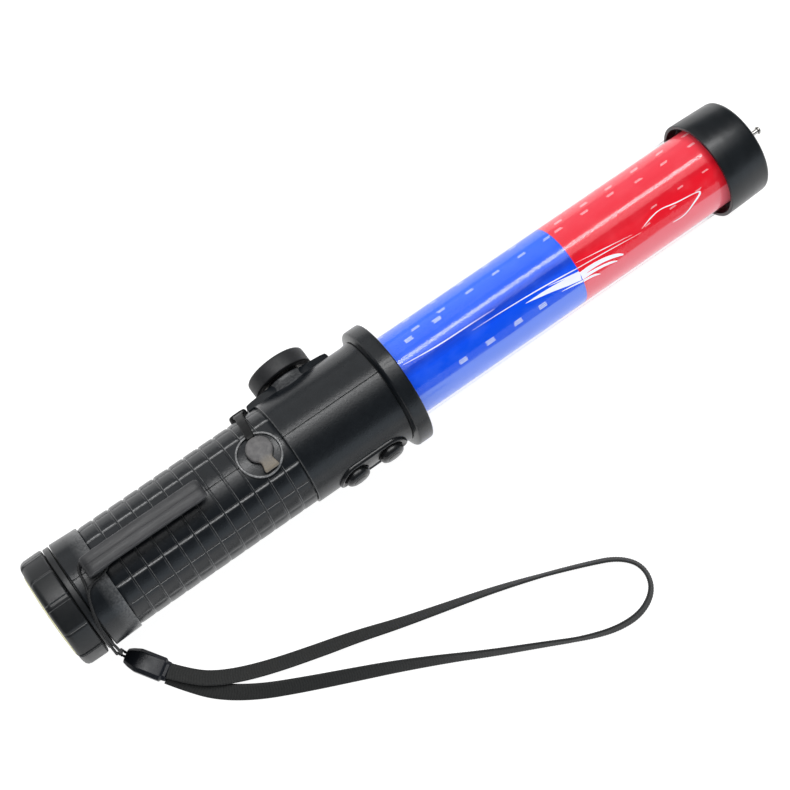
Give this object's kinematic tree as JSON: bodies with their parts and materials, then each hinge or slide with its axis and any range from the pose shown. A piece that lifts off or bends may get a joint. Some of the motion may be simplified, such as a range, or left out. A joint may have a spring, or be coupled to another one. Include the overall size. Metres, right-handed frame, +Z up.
{
  "type": "traffic baton light",
  "caption": "Hand-held traffic baton with a two-colour light tube, tail torch, belt clip, magnet foot, push buttons, charging port and wrist lanyard.",
  "frame": {"origin": "middle of the baton's box without its lanyard, on the surface it lies on", "axes": "+X along the baton from the tail torch to the tip, +Y towards the magnet foot, +Z up, through the belt clip and charging port"},
  "size_m": [0.359, 0.1672, 0.0586],
  "materials": {
    "shell_plastic": "black moulded plastic, satin",
    "clip_plastic": "black moulded plastic, slightly worn",
    "inner_plastic": "black moulded plastic",
    "black_rubber": "matt black rubber",
    "button_rubber": "glossy black silicone",
    "clear_lens": "clear moulded lens",
    "clear_tube": "clear polished tube",
    "blue_film": "translucent blue film with small bright dashes",
    "red_film": "translucent red film with small bright dashes",
    "phosphor": "yellow phosphor",
    "bright_metal": "bright",
    "board_aluminium": "matt",
    "spring_steel": "bright",
    "cell_sleeve": "shrink sleeve on a steel can",
    "circuit_board": "green solder resist",
    "magnet_ferrite": "sintered grey",
    "diode_blue": "white diode package",
    "diode_red": "white diode package",
    "lead_red": "insulated lead",
    "lead_black": "insulated lead",
    "lanyard_cord": "thin black braided cord",
    "lanyard_ribbon": "woven black ribbon"
  },
  "bodies": {
    "handle": {"tail_collar": "shell_plastic", "tail_o_ring": "black_rubber", "handle_shell_magnet_side": "shell_plastic", "handle_shell_button_side": "shell_plastic", "clip_foot": "clip_plastic", "battery_cell": "cell_sleeve", "battery_tray": "inner_plastic", "battery_contact": "spring_steel", "charge_port_surround": "shell_plastic", "port_strap": "black_rubber", "dc_jack": "inner_plastic", "jack_board": "circuit_board", "button_bezel": "shell_plastic", "control_board": "circuit_board", "torch_switch": "inner_plastic", "mode_switch": "inner_plastic", "magnet_saddle": "shell_plastic", "magnet_cup": "spring_steel", "magnet_ring": "magnet_ferrite", "magnet_cover": "black_rubber", "magnet_screw": "spring_steel", "light_tube": "clear_tube", "film_blue": "blue_film", "film_red": "red_film", "led_strip_board": "circuit_board", "blue_leds": "diode_blue", "red_leds": "diode_red", "strip_holder": "inner_plastic", "strip_tip_holder": "inner_plastic", "tip_cap": "shell_plastic", "breaker_stud": "spring_steel", "stud_nut": "spring_steel", "battery_lead_red": "lead_red", "battery_lead_black": "lead_black", "strip_lead": "lead_red", "lanyard_string": "lanyard_cord", "lanyard_ribbon": "lanyard_ribbon", "lanyard_bead": "clip_plastic"},
    "tail_lamp": {"torch_led_board": "board_aluminium", "torch_emitter": "phosphor", "lamp_carrier": "inner_plastic", "tail_spring": "spring_steel"},
    "tail_cap": {"tail_cap": "shell_plastic", "torch_lens": "clear_lens", "torch_reflector": "bright_metal"},
    "belt_clip": {"belt_clip": "clip_plastic"},
    "port_plug": {"port_plug": "black_rubber"},
    "torch_button": {"torch_button": "button_rubber"},
    "mode_button": {"mode_button": "button_rubber"}
  },
  "joints": [
    {"name": "tail_screw_slide", "type": "slide", "parent": "handle", "child": "tail_lamp", "axis": [-1, 0, 0], "range_m": [0, 0.0025]},
    {"name": "tail_cap_turn", "type": "hinge", "parent": "tail_lamp", "child": "tail_cap", "pos_m": [-0.1741, -0.003, 0.0274], "axis": [-1, 0, 0], "range_deg": [0, 721]},
    {"name": "belt_clip_flex", "type": "hinge", "parent": "handle", "child": "belt_clip", "pos_m": [-0.1581, -0.003, 0.054], "axis": [0, -1, 0], "range_deg": [0, 5], "stiffness_Nm_per_rad": 2.5},
    {"name": "port_plug_hinge", "type": "hinge", "parent": "handle", "child": "port_plug", "pos_m": [-0.0781, 0.00435, 0.0513], "axis": [-1, 0, 0], "range_deg": [0, 110], "stiffness_Nm_per_rad": 0.0005},
    {"name": "torch_button_press", "type": "slide", "parent": "handle", "child": "torch_button", "axis": [0, 1, 0], "range_m": [0, 0.0008], "stiffness_N_per_m": 800},
    {"name": "mode_button_press", "type": "slide", "parent": "handle", "child": "mode_button", "axis": [0, 1, 0], "range_m": [0, 0.0008], "stiffness_N_per_m": 800}
  ],
  "couplings": [
    {"joint": "tail_cap_turn", "follows": "tail_screw_slide", "rad_per_m": 5026.5}
  ]
}
